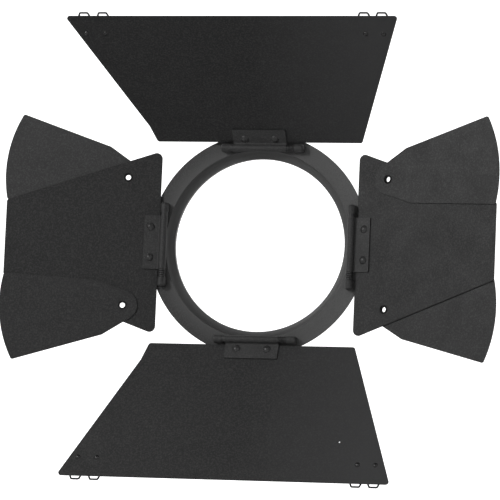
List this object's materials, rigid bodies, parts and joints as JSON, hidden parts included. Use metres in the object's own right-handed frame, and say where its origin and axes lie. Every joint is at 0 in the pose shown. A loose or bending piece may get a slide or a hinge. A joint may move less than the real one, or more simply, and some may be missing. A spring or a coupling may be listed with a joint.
{
  "type": "barn door attachment",
  "caption": "Flat ring with hinged sheet doors on all sides that shape a lamp beam; the side doors carry pivoting fan-shaped wings.",
  "frame": {"origin": "centre of the ring, on its back face", "axes": "+Y along the ring axis towards the lamp, -Y the way the light leaves, +Z towards the top door, +X to the right seen from in front"},
  "size_m": [0.4307, 0.1018, 0.3884],
  "materials": {
    "ring_paint": "satin black baked enamel, slightly worn",
    "leaf_paint": "satin black baked enamel with a fine orange-peel texture",
    "wing_paint": "satin black baked enamel with a fine orange-peel texture",
    "hinge_paint": "satin black enamel",
    "rivet_paint": "satin black enamel over steel, bright where rubbed",
    "blackened_steel": "blackened steel",
    "clip_wire": "dark spring steel wire",
    "washer_steel": "blackened steel"
  },
  "bodies": {
    "ring": {"ring": "ring_paint", "top_hinge_lugs": "hinge_paint", "top_hinge_rod": "blackened_steel", "top_hinge_spacer": "blackened_steel", "top_spring_discs": "blackened_steel", "bottom_hinge_lugs": "hinge_paint", "bottom_hinge_rod": "blackened_steel", "bottom_hinge_spacer": "blackened_steel", "bottom_spring_discs": "blackened_steel", "left_hinge_lugs": "hinge_paint", "left_hinge_rod": "blackened_steel", "left_hinge_spacer": "blackened_steel", "left_spring_discs": "blackened_steel", "right_hinge_lugs": "hinge_paint", "right_hinge_rod": "blackened_steel", "right_hinge_spacer": "blackened_steel", "right_spring_discs": "blackened_steel"},
    "top_door": {"top_leaf": "leaf_paint", "top_hinge_plate": "hinge_paint", "top_hinge_rivets": "rivet_paint", "top_edge_clips": "clip_wire", "top_clip_rivets": "rivet_paint"},
    "bottom_door": {"bottom_leaf": "leaf_paint", "bottom_hinge_plate": "hinge_paint", "bottom_hinge_rivets": "rivet_paint", "bottom_edge_clips": "clip_wire", "bottom_clip_rivets": "rivet_paint"},
    "left_door": {"left_leaf": "leaf_paint", "left_hinge_plate": "hinge_paint", "left_hinge_rivets": "rivet_paint", "upper_left_pivot_washer": "washer_steel", "upper_left_eyelet": "rivet_paint", "lower_left_pivot_washer": "washer_steel", "lower_left_eyelet": "rivet_paint"},
    "right_door": {"right_leaf": "leaf_paint", "right_hinge_plate": "hinge_paint", "right_hinge_rivets": "rivet_paint", "upper_right_pivot_washer": "washer_steel", "upper_right_eyelet": "rivet_paint", "lower_right_pivot_washer": "washer_steel", "lower_right_eyelet": "rivet_paint"},
    "upper_left_wing": {"upper_left_wing": "wing_paint"},
    "lower_left_wing": {"lower_left_wing": "wing_paint"},
    "upper_right_wing": {"upper_right_wing": "wing_paint"},
    "lower_right_wing": {"lower_right_wing": "wing_paint"}
  },
  "joints": [
    {"name": "top_hinge", "type": "hinge", "parent": "ring", "child": "top_door", "pos_m": [0, -0.0065, 0.0814], "axis": [1, 0, 0], "range_deg": [-42.5, 108.5]},
    {"name": "bottom_hinge", "type": "hinge", "parent": "ring", "child": "bottom_door", "pos_m": [0, -0.0065, -0.0814], "axis": [1, 0, 0], "range_deg": [-129.2, 21.8]},
    {"name": "left_hinge", "type": "hinge", "parent": "ring", "child": "left_door", "pos_m": [-0.0814, -0.0065, 0], "axis": [0, 0, -1], "range_deg": [-161, 11]},
    {"name": "right_hinge", "type": "hinge", "parent": "ring", "child": "right_door", "pos_m": [0.0814, -0.0065, 0], "axis": [0, 0, -1], "range_deg": [-18, 154]},
    {"name": "upper_left_wing_pivot", "type": "hinge", "parent": "left_door", "child": "upper_left_wing", "pos_m": [-0.11311, -0.01266, 0.0548], "axis": [-0.1908, 0.9816, 0], "range_deg": [-38.5, 51.5]},
    {"name": "lower_left_wing_pivot", "type": "hinge", "parent": "left_door", "child": "lower_left_wing", "pos_m": [-0.11311, -0.01266, -0.0548], "axis": [0.1908, -0.9816, 0], "range_deg": [-37.5, 52.5]},
    {"name": "upper_right_wing_pivot", "type": "hinge", "parent": "right_door", "child": "upper_right_wing", "pos_m": [0.11212, -0.01648, 0.0548], "axis": [0.309, 0.9511, 0], "range_deg": [-52.5, 37.5]},
    {"name": "lower_right_wing_pivot", "type": "hinge", "parent": "right_door", "child": "lower_right_wing", "pos_m": [0.11212, -0.01648, -0.0548], "axis": [-0.309, -0.9511, 0], "range_deg": [-55, 35]}
  ]
}
